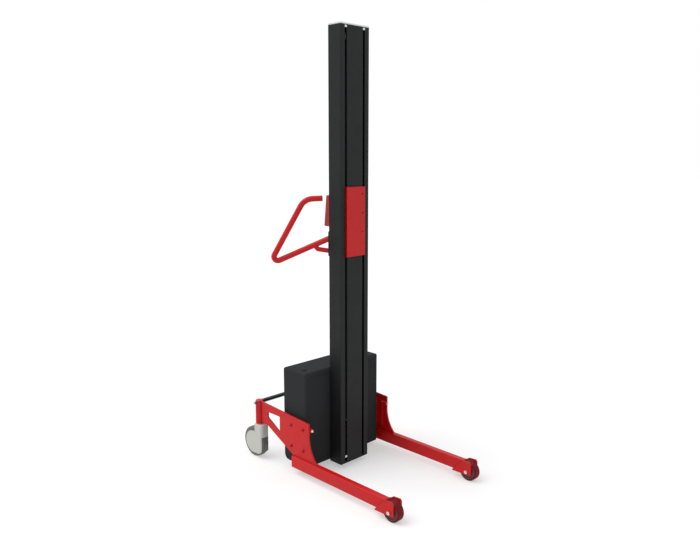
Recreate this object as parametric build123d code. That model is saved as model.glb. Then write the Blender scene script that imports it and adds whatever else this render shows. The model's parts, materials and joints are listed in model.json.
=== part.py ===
from build123d import *
import os

# Mini stacker, in millimetres. X runs across the machine, -Y is forward along the legs and Z is up.
# Pieces are drawn with Y = 0 on the front face of the mast and Z = 0 on the floor. They are moved along
# Y when they are written, so that the origin lies on the floor under the middle of the machine.
# Pieces that come in pairs are drawn on the left, +X, and mirrored.

# Mast
MAST_WIDTH = 150.0
MAST_DEPTH = 65.0
MAST_WALL = 4.0
MAST_CORNER = 2.0
MAST_BOTTOM = 27.0
MAST_TOP = 1700.0
TOP_PLATE = 5.0
FOOT_PLATE = 6.0
SLOT_WIDTH = 11.0
SLOT_CENTRE = 47.0
RUNNER_DEPTH = 20.0
RUNNER_RIB = 3.0
RUNNER_REACH = 11.0
STOP_HEIGHT = 8.0
STOP_DEPTH = 10.0
STOP_BELOW_TOP = 3.0
LOWER_STOP_Z = 45.0

# Carriage
CARRIAGE_WIDTH = 97.5
CARRIAGE_HEIGHT = 265.0
CARRIAGE_BOTTOM = 850.0
CARRIAGE_SHEET = 4.0
CARRIAGE_EDGE = 1.0
CARRIAGE_GAP = 4.4
CARRIAGE_RIB = 4.0
CARRIAGE_RIB_GAP = 0.8
TOOL_HOLE_D = 6.0
TOOL_HOLE_PITCH = 72.0
TOOL_HOLE_COUNT = 3
TOOL_HOLE_X = 34.0
TOOL_HOLE_FROM_TOP = 28.0
SLIDER_FRONT = 8.0
SLIDER_DEPTH = 11.0
SLIDER_WIDTH = 112.0
SLIDER_MARGIN = 15.0
SLIDER_WINDOW_WIDTH = 60.0
SLIDER_WINDOW_HEIGHT = 46.0
SLIDER_WINDOW_OFFSET = 72.0
SHOE_LENGTH = 60.0
SHOE_CHAMFER = 2.0
SHOE_GAP = 0.4
CLAMP_WIDTH = 42.0
CLAMP_HEIGHT = 40.0
CLAMP_JAW = 3.6

# Lifting strap, sheave and drum
STRAP_WIDTH = 30.0
STRAP_THICKNESS = 1.6
STRAP_GAP = 0.6
SHEAVE_RADIUS = 16.0
SHEAVE_FLANGE = 18.5
SHEAVE_FLANGE_WALL = 3.0
SHEAVE_Y = 40.0
SHEAVE_BELOW_TOP = 37.0
SHEAVE_AXLE_D = 10.0
SHEAVE_AXLE_HEAD = 14.0
SHEAVE_AXLE_HEAD_LENGTH = 3.0
BRACKET_CHEEK = 4.0
BRACKET_DEPTH = 24.0
BRACKET_BELOW_AXLE = 15.0
DRUM_RADIUS = 24.0
DRUM_FLANGE = 27.0
DRUM_FLANGE_WALL = 3.0
DRUM_Z = 175.0
DRUM_SHAFT_D = 12.0
DRUM_SHAFT_LENGTH = 30.0
DRUM_WINDOW_WIDTH = 46.0
DRUM_WINDOW_HEIGHT = 72.0

# Drive housing and what is inside
HOUSING_WIDTH = 404.0
HOUSING_DEPTH = 133.0
HOUSING_TOP = 408.0
HOUSING_BOTTOM = 27.0
HOUSING_WALL = 3.0
HOUSING_HEEL = 25.0
HOUSING_EDGE = 8.0
HOUSING_LIP = 18.0
PANEL_GAP = 0.8
FRAME_SHEET = 5.0
FRAME_HEIGHT = 290.0
FRAME_FLANGE_DEPTH = 80.0
FRAME_FLANGE_HEIGHT = 230.0
BATTERY_DEPTH = 77.0
BATTERY_HEIGHT = 167.0
BATTERY_FROM_MIDDLE = 24.0
BATTERY_SIDE_GAP = 5.0
BATTERY_SETBACK = 24.0
TERMINAL_D = 12.0
TERMINAL_HEIGHT = 8.0
GEARBOX_SIZE = (56.0, 62.0, 84.0)
GEARBOX_EDGE = 6.0
GEARBOX_SIDE_GAP = 3.0
MOTOR_D = 56.0
MOTOR_LENGTH = 120.0
MOTOR_CAP_D = 44.0
MOTOR_CAP_LENGTH = 10.0
CONTROLLER_SIZE = (110.0, 70.0, 36.0)
CONTROLLER_FIN = 3.0
CONTROLLER_FIN_COUNT = 7
CONTROLLER_SETBACK = 24.0
CONTROLLER_SIDE_GAP = 24.0
INLET_D = 32.0
INLET_FLANGE_D = 42.0
INLET_FLANGE = 3.0
INLET_LENGTH = 28.0
INLET_BORE = 24.0
INLET_BORE_DEPTH = 18.0
INLET_FROM_SIDE = 82.0
INLET_Z = 305.0
COVER_SCREW_FROM_SIDE = 35.0
COVER_SCREW_INSET = 45.0
COVER_SCREW_HEAD = 18.0
COVER_SCREW_RISE = 2.4
COVER_SCREW_SHANK = 5.0
COVER_SCREW_LENGTH = 9.0
CLEARANCE = 0.1

# Legs and front wheels. Fork corners are given from the axle: backward, then upward.
LEG_WIDTH = 25.0
LEG_BOTTOM = 27.0
LEG_TOP = 73.0
LEG_WALL = 2.5
LEG_CORNER = 3.5
LEG_REAR = 116.0
FRONT_AXLE_Y = -405.0
FRONT_WHEEL_R = 37.5
FRONT_WHEEL_WIDTH = 30.0
FRONT_TREAD = 8.0
FRONT_SHOULDER = 3.0
FRONT_HUB_RECESS = 3.0
FRONT_HUB_BOSS = 11.0
FRONT_AXLE_D = 8.0
FRONT_AXLE_HEAD = 13.0
FRONT_AXLE_HEAD_LENGTH = 5.5
FORK_SHEET = 5.0
FORK_SIDE_GAP = 2.5
FORK_WHEEL_GAP = 1.2
FORK_HEEL_FROM_AXLE = (71.5, -13.5)
FORK_SHOULDER_FROM_AXLE = (19.0, 38.5)
FORK_BROW_FROM_AXLE = (-13.5, 41.5)
FORK_NOSE_FROM_AXLE = (-19.5, 34.5)
FORK_TOE_FROM_AXLE = (-20.0, -11.5)
FORK_EDGE = 3.0

# Side plates
PLATE_SHEET = 6.0
PLATE_FRONT = 24.5
PLATE_FRONT_TOP = 224.5
PLATE_FLARE_TOP = 175.0
PLATE_FLARE_FOOT = -18.5
PLATE_BELOW_SOCKET_TOP = 1.0
PLATE_ARM_FROM_SWIVEL = 52.0
PLATE_ARM_RISE = 7.5
WINDOW_FRONT = 197.5
WINDOW_REAR = 273.0
WINDOW_TOP = 208.0
WINDOW_FRONT_SILL = 142.5
WINDOW_REAR_SILL = 185.5
WINDOW_CORNER = 4.0
BLOCK_WIDTH = 15.0
BLOCK_FRONT = 46.0
BLOCK_REAR = 142.0
BLOCK_STEP = 78.0
BLOCK_TAB = 5.0
BLOCK_BOTTOM = 93.0
BLOCK_TOP = 208.0
SCREW_ROWS = (108.0, 193.0)
SCREW_COLUMNS = (58.5, 129.5)
SCREW_HEAD = 12.5
SCREW_HEAD_RISE = 5.0
SCREW_HEAD_EDGE = 2.0
SCREW_SHANK = 8.0
SCREW_LENGTH = 11.0
SCREW_SOCKET = 5.0
SCREW_SOCKET_DEPTH = 2.6
LUG_INSET = 8.0
LUG_Z = 197.0
LUG_D = 16.0
LUG_FRONT = 18.0
LUG_LENGTH = 22.0
LUG_BORE = 8.0
LUG_SCREW_HEAD = 10.5
LUG_SCREW_HEAD_LENGTH = 6.0

# Casters and lock bar
SWIVEL_Y = 331.0
SWIVEL_GAP = 2.0
SOCKET_D = 32.0
SOCKET_BORE = 26.0
SOCKET_HEIGHT = 98.0
SOCKET_CAP = 17.0
SOCKET_EDGE = 2.0
STEM_D = 22.0
STEM_END_GAP = 3.0
BUSH_LENGTH = 15.0
BUSH_FLANGE = 31.0
BUSH_FLANGE_WALL = 1.7
RUNNING_GAP = 0.05
CASTER_TRAIL = 24.0
CASTER_R = 62.5
CASTER_WIDTH = 30.0
CASTER_TREAD = 16.5
CASTER_SHOULDER = 9.0
CASTER_HUB_RECESS = 4.0
CASTER_HUB_BOSS = 16.0
CASTER_AXLE_D = 12.0
CASTER_AXLE_SEAT = 1.5
CASTER_SIDE_GAP = 1.5
CASTER_WHEEL_GAP = 1.5
CHEEK_SHEET = 4.0
DISC_SHEET = 2.5
DISC_INSIDE_WHEEL = 16.0
HOOD_LEAD = 35.5
HOOD_TAIL = 17.3
HOOD_CORNER = 12.0
HOOD_ABOVE_WHEEL = 19.0
HOOD_ABOVE_AXLE = 29.5
HOOD_EDGE = 3.0
CHEEK_BELOW_AXLE = 44.0
CHEEK_CORNER = 30.0
BAR_BELOW_SOCKET_TOP = 8.0
BAR_D = 17.0
BAR_SHOULDER_GAP = 1.0
JOURNAL_D = 12.0
BAR_OVERHANG = 11.0
BAR_TIP_HEX = 10.4
BAR_TIP_LENGTH = 9.0
PEDAL_WIDTH = 80.0
PEDAL_HUB_D = 27.0
PEDAL_HUB_WIDTH = 44.0
PEDAL_REACH = 50.0
PEDAL_SHEET = 5.0
PEDAL_EDGE = 8.0
PEDAL_RIB = 2.0
PEDAL_RIB_COUNT = 4

# Handles and control box. A handle lies in one upright plane that splays out from the mast: its corners
# are given as the distance from its root along that plane, then the height above the floor.
HANDLE_D = 22.0
HANDLE_WALL = 2.0
HANDLE_ROOT_X = 55.0
HANDLE_SPLAY = (1.0, 1.0)
HANDLE_ROOT = (0.0, 920.7)
HANDLE_HEEL = (242.0, 813.8)
HANDLE_CREST = (103.1, 1067.2)
HANDLE_END = (36.9, 1070.2)
HANDLE_HEEL_BEND = 15.0
HANDLE_CREST_BEND = 55.0
STAY_D = 18.0
STAY_TOP = (60.8, 893.8)
STAY_ELBOW = (60.8, 876.0)
STAY_ROOT = (0.0, 867.5)
STAY_BEND = 15.0
PLUG_RIM = 3.0
PLUG_SPIGOT = 14.0
HANDLE_PLATE_WIDTH = 146.0
HANDLE_PLATE_SHEET = 6.0
HANDLE_PLATE_BOTTOM = 848.0
HANDLE_PLATE_TOP = 947.0
HANDLE_PLATE_CORNER = 8.0
HANDLE_SCREW_X = 24.0
HANDLE_SCREW_INSET = 13.0
HANDLE_SCREW_HEAD = 13.0
HANDLE_SCREW_RISE = 5.0
HANDLE_SCREW_SHANK = 8.0
HANDLE_SCREW_LENGTH = 9.0
BOX_WIDTH = 100.0
BOX_BOTTOM = 960.0
BOX_TOP = 1081.0
BOX_DEPTH_TOP = 44.0
BOX_DEPTH_BOTTOM = 56.0
BOX_WALL = 2.5
BOX_EDGE = 6.0
BUTTON_D = 22.0
BUTTON_RISE = 4.0
BUTTON_X = -25.0
BUTTON_PITCH = 42.0
BUTTON_EDGE = 1.5
STOP_KNOB_D = 36.0
STOP_KNOB_RISE = 7.0
STOP_KNOB_HEIGHT = 10.0
STOP_KNOB_EDGE = 4.0
STOP_KNOB_X = 22.0
STOP_STEM_D = 16.0
BUTTON_FLANGE = 2.0
BUTTON_FLANGE_WALL = 2.5
BUTTON_GAP = 0.3

# Sizes that follow from the ones above
SLOT_INNER = SLOT_CENTRE - SLOT_WIDTH / 2
SLOT_OUTER = SLOT_CENTRE + SLOT_WIDTH / 2
CAVITY_HALF = MAST_WIDTH / 2 - MAST_WALL
SHEAVE_Z = MAST_TOP - SHEAVE_BELOW_TOP
DRUM_Y = SHEAVE_Y + SHEAVE_RADIUS + DRUM_RADIUS
SLIDER_BACK = SLIDER_FRONT + SLIDER_DEPTH
STRAP_FRONT_Y = SHEAVE_Y - SHEAVE_RADIUS
STRAP_REAR_Y = SHEAVE_Y + SHEAVE_RADIUS
HOUSING_REAR = MAST_DEPTH + HOUSING_DEPTH
HOUSING_HALF = HOUSING_WIDTH / 2
PLATE_INNER = HOUSING_HALF + BLOCK_WIDTH
PLATE_OUTER = PLATE_INNER + PLATE_SHEET
LEG_CENTRE = PLATE_INNER + PLATE_SHEET / 2
LUG_X = LEG_CENTRE - LUG_INSET
INLET_X = HOUSING_HALF - INLET_FROM_SIDE
CASTER_Y = SWIVEL_Y + CASTER_TRAIL
HOOD_TOP = 2 * CASTER_R + HOOD_ABOVE_WHEEL
SOCKET_BOTTOM = HOOD_TOP + SWIVEL_GAP
SOCKET_TOP = SOCKET_BOTTOM + SOCKET_HEIGHT
SOCKET_BORE_TOP = SOCKET_TOP - SOCKET_CAP
STEM_TOP = SOCKET_BORE_TOP - STEM_END_GAP
PLATE_REAR_TOP = SOCKET_TOP - PLATE_BELOW_SOCKET_TOP
BAR_Z = SOCKET_TOP - BAR_BELOW_SOCKET_TOP
BAR_TIP = LEG_CENTRE + SOCKET_D / 2 + BAR_OVERHANG
CHEEK_INNER = CASTER_WIDTH / 2 + CASTER_SIDE_GAP
CHEEK_OUTER = CHEEK_INNER + CHEEK_SHEET
FORK_INNER = FRONT_WHEEL_WIDTH / 2 + FORK_SIDE_GAP
FORK_OUTER = FORK_INNER + FORK_SHEET
HANDLE_FACE_Y = MAST_DEPTH + HANDLE_PLATE_SHEET
HANDLE_PLANE = Plane(
    origin=(HANDLE_ROOT_X, HANDLE_FACE_Y, 0),
    x_dir=(HANDLE_SPLAY[0], HANDLE_SPLAY[1], 0),
    z_dir=(HANDLE_SPLAY[1], -HANDLE_SPLAY[0], 0),
)
BUTTON_PLANE = Plane(
    origin=(0, MAST_DEPTH + (BOX_DEPTH_TOP + BOX_DEPTH_BOTTOM) / 2, (BOX_BOTTOM + BOX_TOP) / 2),
    x_dir=(1, 0, 0),
    z_dir=(0, BOX_TOP - BOX_BOTTOM, BOX_DEPTH_BOTTOM - BOX_DEPTH_TOP),
)
FRONT_END = FRONT_AXLE_Y - FRONT_WHEEL_R
REAR_END = CASTER_Y + CASTER_R
ORIGIN_SHIFT = -(FRONT_END + REAR_END) / 2


def save(name, *shapes):
    solids = [Pos(0, ORIGIN_SHIFT, 0) * solid for shape in shapes for solid in shape.solids()]
    export_step(Compound(solids), f"parts/{name}.step")


def save_pair(name, left_shape):
    save(f"{name}_left", left_shape)
    save(f"{name}_right", mirror(left_shape, about=Plane.YZ))


def save_both(name, *left_shapes):
    right_shapes = [mirror(shape, about=Plane.YZ) for shape in left_shapes]
    save(name, *left_shapes, *right_shapes)


def span(x0, x1, y0, y1, z0, z1):
    return Pos((x0 + x1) / 2, (y0 + y1) / 2, (z0 + z1) / 2) * Box(x1 - x0, y1 - y0, z1 - z0)


def along_x(radius, x0, x1, y=0.0, z=0.0):
    return Pos((x0 + x1) / 2, y, z) * Rot(0, 90, 0) * Cylinder(radius, x1 - x0)


def along_y(radius, y0, y1, x=0.0, z=0.0):
    return Pos(x, (y0 + y1) / 2, z) * Rot(90, 0, 0) * Cylinder(radius, y1 - y0)


def along_z(radius, z0, z1, x=0.0, y=0.0):
    return Pos(x, y, (z0 + z1) / 2) * Cylinder(radius, z1 - z0)


def side_extrusion(outline, x0, x1):
    return Pos(x0, 0, 0) * extrude(Plane.YZ * outline, amount=x1 - x0)


def polygon(*points):
    return make_face(Polyline(*points, close=True))


def rounded_polygon(radius, *points):
    return fillet(polygon(*points).vertices(), radius)


def outer_rims(shape):
    return shape.edges().filter_by(GeomType.CIRCLE).sort_by(SortBy.RADIUS)[-2:]


def end_rim(shape, axis, end):
    return outer_rims(shape).sort_by(axis)[end]


def face_edges(shape, axis, end):
    return shape.faces().sort_by(axis)[end].edges()


# Mast


def mast_outline():
    return Pos(0, MAST_DEPTH / 2) * RectangleRounded(MAST_WIDTH, MAST_DEPTH, MAST_CORNER)


def drum_window(y0, y1):
    half_width = DRUM_WINDOW_WIDTH / 2
    half_height = DRUM_WINDOW_HEIGHT / 2
    return span(-half_width, half_width, y0, y1, DRUM_Z - half_height, DRUM_Z + half_height)


def handle_screw_places():
    rows = (HANDLE_PLATE_BOTTOM + HANDLE_SCREW_INSET, HANDLE_PLATE_TOP - HANDLE_SCREW_INSET)
    return [(x, z) for x in (-HANDLE_SCREW_X, HANDLE_SCREW_X) for z in rows]


def make_mast():
    cavity = Pos(0, MAST_DEPTH / 2) * Rectangle(2 * CAVITY_HALF, MAST_DEPTH - 2 * MAST_WALL)
    mouth = Pos(0, MAST_WALL / 2) * Rectangle(2 * SLOT_OUTER, MAST_WALL)
    section = mast_outline() - cavity - mouth
    rib_y = MAST_WALL + RUNNER_DEPTH + RUNNER_RIB / 2
    for side in (-1, 1):
        section += Pos(side * (CAVITY_HALF - RUNNER_REACH / 2), rib_y) * Rectangle(RUNNER_REACH, RUNNER_RIB)
    profile = Pos(0, 0, MAST_BOTTOM) * extrude(section, amount=MAST_TOP - MAST_BOTTOM)
    profile -= drum_window(MAST_DEPTH - MAST_WALL, MAST_DEPTH)
    for x, z in handle_screw_places():
        profile -= along_y(HANDLE_SCREW_SHANK / 2, HANDLE_FACE_Y - HANDLE_SCREW_LENGTH, MAST_DEPTH, x, z)
    save("mast", profile)
    save("mast_top_plate", Pos(0, 0, MAST_TOP) * extrude(mast_outline(), amount=TOP_PLATE))
    save("mast_foot_plate", Pos(0, 0, MAST_BOTTOM - FOOT_PLATE) * extrude(mast_outline(), amount=FOOT_PLATE))
    save("mast_cover_strip", span(-SLOT_INNER, SLOT_INNER, 0, MAST_WALL, MAST_BOTTOM, MAST_TOP))
    stop_top = MAST_TOP - STOP_BELOW_TOP
    upper = span(SLOT_INNER, SLOT_OUTER, 0, STOP_DEPTH, stop_top - STOP_HEIGHT, stop_top)
    lower = span(-SLOT_OUTER, -SLOT_INNER, 0, STOP_DEPTH, LOWER_STOP_Z, LOWER_STOP_Z + STOP_HEIGHT)
    save("slot_stops", upper, mirror(upper, about=Plane.YZ), lower)


# Carriage


def make_carriage():
    half = CARRIAGE_WIDTH / 2
    front = -CARRIAGE_GAP - CARRIAGE_SHEET
    top = CARRIAGE_BOTTOM + CARRIAGE_HEIGHT
    plate = span(-half, half, front, -CARRIAGE_GAP, CARRIAGE_BOTTOM, top)
    plate = chamfer(plate.faces().sort_by(Axis.Y)[0].edges(), CARRIAGE_EDGE)
    rib_inner = SLOT_INNER + CARRIAGE_RIB_GAP
    rib_outer = rib_inner + CARRIAGE_RIB
    for x0, x1 in ((-rib_outer, -rib_inner), (rib_inner, rib_outer)):
        plate += span(x0, x1, -CARRIAGE_GAP, SLIDER_FRONT, CARRIAGE_BOTTOM, top)
    for row in range(TOOL_HOLE_COUNT):
        z = top - TOOL_HOLE_FROM_TOP - row * TOOL_HOLE_PITCH
        plate -= along_y(TOOL_HOLE_D / 2, front, -CARRIAGE_GAP, TOOL_HOLE_X, z)
    save("carriage_plate", plate)


def make_slider():
    bottom = CARRIAGE_BOTTOM + SLIDER_MARGIN
    top = CARRIAGE_BOTTOM + CARRIAGE_HEIGHT - SLIDER_MARGIN
    middle = (bottom + top) / 2
    half = SLIDER_WIDTH / 2
    slider = span(-half, half, SLIDER_FRONT, SLIDER_BACK, bottom, top)
    window = Box(SLIDER_WINDOW_WIDTH, SLIDER_DEPTH, SLIDER_WINDOW_HEIGHT)
    for offset in (-SLIDER_WINDOW_OFFSET, SLIDER_WINDOW_OFFSET):
        slider -= Pos(0, (SLIDER_FRONT + SLIDER_BACK) / 2, middle + offset) * window
    save("carriage_slider", slider)
    shoes = []
    shoe_front = MAST_WALL + SHOE_GAP
    shoe_back = MAST_WALL + RUNNER_DEPTH - SHOE_GAP
    for z in (bottom, top - SHOE_LENGTH):
        shoe = span(half, CAVITY_HALF - SHOE_GAP, shoe_front, shoe_back, z, z + SHOE_LENGTH)
        ends = shoe.edges().filter_by(Axis.Y).group_by(Axis.X)[-1]
        shoes.append(chamfer(ends, SHOE_CHAMFER))
    save_both("guide_shoes", *shoes)


def make_clamp():
    half_slot = STRAP_THICKNESS / 2 + STRAP_GAP
    rear = STRAP_FRONT_Y + half_slot + CLAMP_JAW
    z0 = CARRIAGE_BOTTOM + CARRIAGE_HEIGHT / 2 - CLAMP_HEIGHT / 2
    block = span(-CLAMP_WIDTH / 2, CLAMP_WIDTH / 2, SLIDER_BACK, rear, z0, z0 + CLAMP_HEIGHT)
    slot_half_width = STRAP_WIDTH / 2 + STRAP_GAP
    slot_front = STRAP_FRONT_Y - half_slot
    slot_rear = STRAP_FRONT_Y + half_slot
    slot = span(-slot_half_width, slot_half_width, slot_front, slot_rear, z0, z0 + CLAMP_HEIGHT)
    save("strap_clamp", block - slot)
    return z0


# Lifting strap, sheave and drum


def make_strap(lower_end):
    half = STRAP_THICKNESS / 2
    sheave = Pos(SHEAVE_Y, SHEAVE_Z)
    ring = sheave * (Circle(SHEAVE_RADIUS + half) - Circle(SHEAVE_RADIUS - half))
    upper = sheave * Pos(0, SHEAVE_FLANGE / 2) * Rectangle(2 * SHEAVE_FLANGE, SHEAVE_FLANGE)
    outline = ring & upper
    for y, foot in ((STRAP_FRONT_Y, lower_end), (STRAP_REAR_Y, DRUM_Z)):
        outline += Pos(y, (foot + SHEAVE_Z) / 2) * Rectangle(STRAP_THICKNESS, SHEAVE_Z - foot)
    save("lifting_strap", side_extrusion(outline, -STRAP_WIDTH / 2, STRAP_WIDTH / 2))


def make_sheave():
    groove_half = STRAP_WIDTH / 2 + STRAP_GAP
    end = groove_half + SHEAVE_FLANGE_WALL
    groove_radius = SHEAVE_RADIUS - STRAP_THICKNESS / 2 - STRAP_GAP
    wheel = along_x(groove_radius, -groove_half, groove_half)
    for x0, x1 in ((-end, -groove_half), (groove_half, end)):
        wheel += along_x(SHEAVE_FLANGE, x0, x1)
    wheel -= along_x(SHEAVE_AXLE_D / 2 + RUNNING_GAP, -end, end)
    save("top_sheave", Pos(0, SHEAVE_Y, SHEAVE_Z) * wheel)

    cheek_inner = end + STRAP_GAP
    cheek_outer = cheek_inner + BRACKET_CHEEK
    y0 = SHEAVE_Y - BRACKET_DEPTH / 2
    y1 = SHEAVE_Y + BRACKET_DEPTH / 2
    z0 = SHEAVE_Z - BRACKET_BELOW_AXLE
    bracket = span(-cheek_outer, cheek_outer, y0, y1, z0, MAST_TOP)
    bracket -= span(-cheek_inner, cheek_inner, y0, y1, z0, MAST_TOP - BRACKET_CHEEK)
    bracket -= along_x(SHEAVE_AXLE_D / 2, -cheek_outer, cheek_outer, SHEAVE_Y, SHEAVE_Z)
    save("sheave_bracket", bracket)

    axle = along_x(SHEAVE_AXLE_D / 2, -cheek_outer, cheek_outer)
    for x in (-cheek_outer - SHEAVE_AXLE_HEAD_LENGTH, cheek_outer):
        axle += along_x(SHEAVE_AXLE_HEAD / 2, x, x + SHEAVE_AXLE_HEAD_LENGTH)
    save("sheave_axle", Pos(0, SHEAVE_Y, SHEAVE_Z) * axle)


def drum_end():
    return STRAP_WIDTH / 2 + STRAP_GAP + DRUM_FLANGE_WALL


def make_drum():
    groove_half = STRAP_WIDTH / 2 + STRAP_GAP
    end = drum_end()
    core = DRUM_RADIUS - STRAP_THICKNESS / 2 - STRAP_GAP
    drum = along_x(core, -groove_half, groove_half)
    for x0, x1 in ((-end, -groove_half), (groove_half, end)):
        drum += along_x(DRUM_FLANGE, x0, x1)
    drum += along_x(DRUM_SHAFT_D / 2, end, end + DRUM_SHAFT_LENGTH)
    save("hoist_drum", Pos(0, DRUM_Y, DRUM_Z) * drum)


def make_drive():
    x0 = drum_end() + GEARBOX_SIDE_GAP
    y0 = MAST_DEPTH + HOUSING_WALL + FRAME_SHEET
    width, depth, height = GEARBOX_SIZE
    z0 = DRUM_Z - height / 2
    body = span(x0, x0 + width, y0, y0 + depth, z0, z0 + height)
    body = fillet(body.edges().filter_by(Axis.X), GEARBOX_EDGE)
    bore_end = drum_end() + DRUM_SHAFT_LENGTH + GEARBOX_SIDE_GAP
    body -= along_x(DRUM_SHAFT_D / 2 + RUNNING_GAP, x0, bore_end, DRUM_Y, DRUM_Z)
    save("gearbox", body)
    motor_x = x0 + width / 2
    motor_y = y0 + depth / 2
    motor_z = z0 + height
    motor = along_z(MOTOR_D / 2, motor_z, motor_z + MOTOR_LENGTH, motor_x, motor_y)
    cap_z = motor_z + MOTOR_LENGTH
    motor += along_z(MOTOR_CAP_D / 2, cap_z, cap_z + MOTOR_CAP_LENGTH, motor_x, motor_y)
    save("drive_motor", motor)


# Drive housing


def housing_block(inset):
    front = MAST_DEPTH + inset
    rear = HOUSING_REAR - inset
    top = HOUSING_TOP - inset
    bottom = HOUSING_BOTTOM + inset
    outline = polygon((front, bottom), (rear, bottom), (rear, top), (front, top))
    heel = outline.vertices().group_by(Axis.Y)[0].sort_by(Axis.X)[-1]
    outline = fillet(heel, HOUSING_HEEL - inset)
    half = HOUSING_HALF - inset
    return side_extrusion(outline, -half, half)


def cover_screw_places():
    y = MAST_DEPTH + COVER_SCREW_INSET
    x = HOUSING_HALF - COVER_SCREW_FROM_SIDE
    return [(x, y), (-x, y)]


def front_opening(gap):
    half = HOUSING_HALF - HOUSING_LIP - gap
    bottom = HOUSING_BOTTOM + HOUSING_LIP + gap
    top = HOUSING_TOP - HOUSING_LIP - gap
    return span(-half, half, MAST_DEPTH, MAST_DEPTH + HOUSING_WALL, bottom, top)


def make_housing():
    shell = housing_block(0)
    shell = fillet(face_edges(shell, Axis.Z, -1) + shell.edges().filter_by(Axis.Z), HOUSING_EDGE)
    hollow = housing_block(HOUSING_WALL)
    shell -= fillet(face_edges(hollow, Axis.Z, -1), HOUSING_EDGE - HOUSING_WALL)
    shell -= front_opening(0)
    inlet_bore = along_y(INLET_D / 2 + CLEARANCE, HOUSING_REAR - HOUSING_WALL, HOUSING_REAR, INLET_X, INLET_Z)
    shell -= inlet_bore
    screws = []
    for x, y in cover_screw_places():
        shell -= along_z(COVER_SCREW_SHANK / 2 + CLEARANCE, HOUSING_TOP - HOUSING_WALL, HOUSING_TOP, x, y)
        head = along_z(COVER_SCREW_HEAD / 2, HOUSING_TOP, HOUSING_TOP + COVER_SCREW_RISE, x, y)
        head = chamfer(end_rim(head, Axis.Z, -1), COVER_SCREW_RISE / 3)
        shank = along_z(COVER_SCREW_SHANK / 2, HOUSING_TOP - COVER_SCREW_LENGTH, HOUSING_TOP, x, y)
        screws.append(head + shank)
    save("housing_cover", shell)
    save("cover_screws", *screws)

    panel = front_opening(PANEL_GAP)
    save("housing_front", panel - drum_window(MAST_DEPTH, MAST_DEPTH + HOUSING_WALL))

    flange = along_y(INLET_FLANGE_D / 2, HOUSING_REAR, HOUSING_REAR + INLET_FLANGE, INLET_X, INLET_Z)
    body = along_y(INLET_D / 2, HOUSING_REAR - INLET_LENGTH, HOUSING_REAR, INLET_X, INLET_Z)
    mouth = HOUSING_REAR + INLET_FLANGE
    socket = along_y(INLET_BORE / 2, mouth - INLET_BORE_DEPTH, mouth, INLET_X, INLET_Z)
    save("charge_inlet", flange + body - socket)


def make_frame():
    half = HOUSING_HALF - HOUSING_WALL
    floor = HOUSING_BOTTOM + HOUSING_WALL
    front = MAST_DEPTH + HOUSING_WALL
    web = span(-half, half, front, front + FRAME_SHEET, floor, floor + FRAME_HEIGHT)
    tray_rear = HOUSING_REAR - HOUSING_HEEL
    frame = web + span(-half, half, front, tray_rear, floor, floor + FRAME_SHEET)
    for x0, x1 in ((-half, FRAME_SHEET - half), (half - FRAME_SHEET, half)):
        frame += span(x0, x1, front, front + FRAME_FLANGE_DEPTH, floor, floor + FRAME_FLANGE_HEIGHT)
    save("chassis_frame", frame - drum_window(front, front + FRAME_SHEET))


def make_electrics():
    shelf = HOUSING_BOTTOM + HOUSING_WALL + FRAME_SHEET
    front = MAST_DEPTH + HOUSING_WALL + FRAME_SHEET
    bay_half = HOUSING_HALF - HOUSING_WALL - FRAME_SHEET
    x1 = -BATTERY_FROM_MIDDLE
    width = bay_half - BATTERY_SIDE_GAP - BATTERY_FROM_MIDDLE
    y0 = front + BATTERY_SETBACK
    top = shelf + BATTERY_HEIGHT
    battery = span(x1 - width, x1, y0, y0 + BATTERY_DEPTH, shelf, top)
    for side in (-1, 1):
        x = x1 - width / 2 + side * width / 3
        battery += along_z(TERMINAL_D / 2, top, top + TERMINAL_HEIGHT, x, y0 + BATTERY_DEPTH / 2)
    save("battery", battery)

    width, depth, height = CONTROLLER_SIZE
    x0 = bay_half - CONTROLLER_SIDE_GAP - width
    y0 = front + CONTROLLER_SETBACK
    case = span(x0, x0 + width, y0, y0 + depth, shelf, shelf + height)
    pitch = width / CONTROLLER_FIN_COUNT
    for index in range(CONTROLLER_FIN_COUNT):
        x = x0 + (index + 0.5) * pitch - CONTROLLER_FIN / 2
        top = shelf + height
        case += span(x, x + CONTROLLER_FIN, y0, y0 + depth, top, top + 2 * CONTROLLER_FIN)
    save("controller", case)


# Legs and front wheels


def fork_point(from_axle):
    return (FRONT_AXLE_Y + from_axle[0], FRONT_WHEEL_R + from_axle[1])


def fork_slant():
    heel = fork_point(FORK_HEEL_FROM_AXLE)
    shoulder = fork_point(FORK_SHOULDER_FROM_AXLE)
    slope = (shoulder[0] - heel[0]) / (shoulder[1] - heel[1])
    return lambda z: heel[0] + slope * (z - heel[1])


def make_leg():
    slant = fork_slant()
    outline = polygon(
        (LEG_REAR, LEG_BOTTOM), (slant(LEG_BOTTOM), LEG_BOTTOM), (slant(LEG_TOP), LEG_TOP), (LEG_REAR, LEG_TOP)
    )
    half = LEG_WIDTH / 2
    tube = side_extrusion(outline, LEG_CENTRE - half, LEG_CENTRE + half)
    tube = fillet(tube.edges().filter_by(Axis.Y), LEG_CORNER)
    inner = half - LEG_WALL
    middle_z = (LEG_BOTTOM + LEG_TOP) / 2
    bore = RectangleRounded(2 * inner, LEG_TOP - LEG_BOTTOM - 2 * LEG_WALL, LEG_CORNER - 1)
    bore_plane = Plane(origin=(LEG_CENTRE, LEG_REAR - LEG_WALL, middle_z), x_dir=(1, 0, 0), z_dir=(0, -1, 0))
    reach = LEG_REAR - LEG_WALL - slant(LEG_TOP)
    save_pair("leg", tube - extrude(bore_plane * bore, amount=reach))


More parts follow.
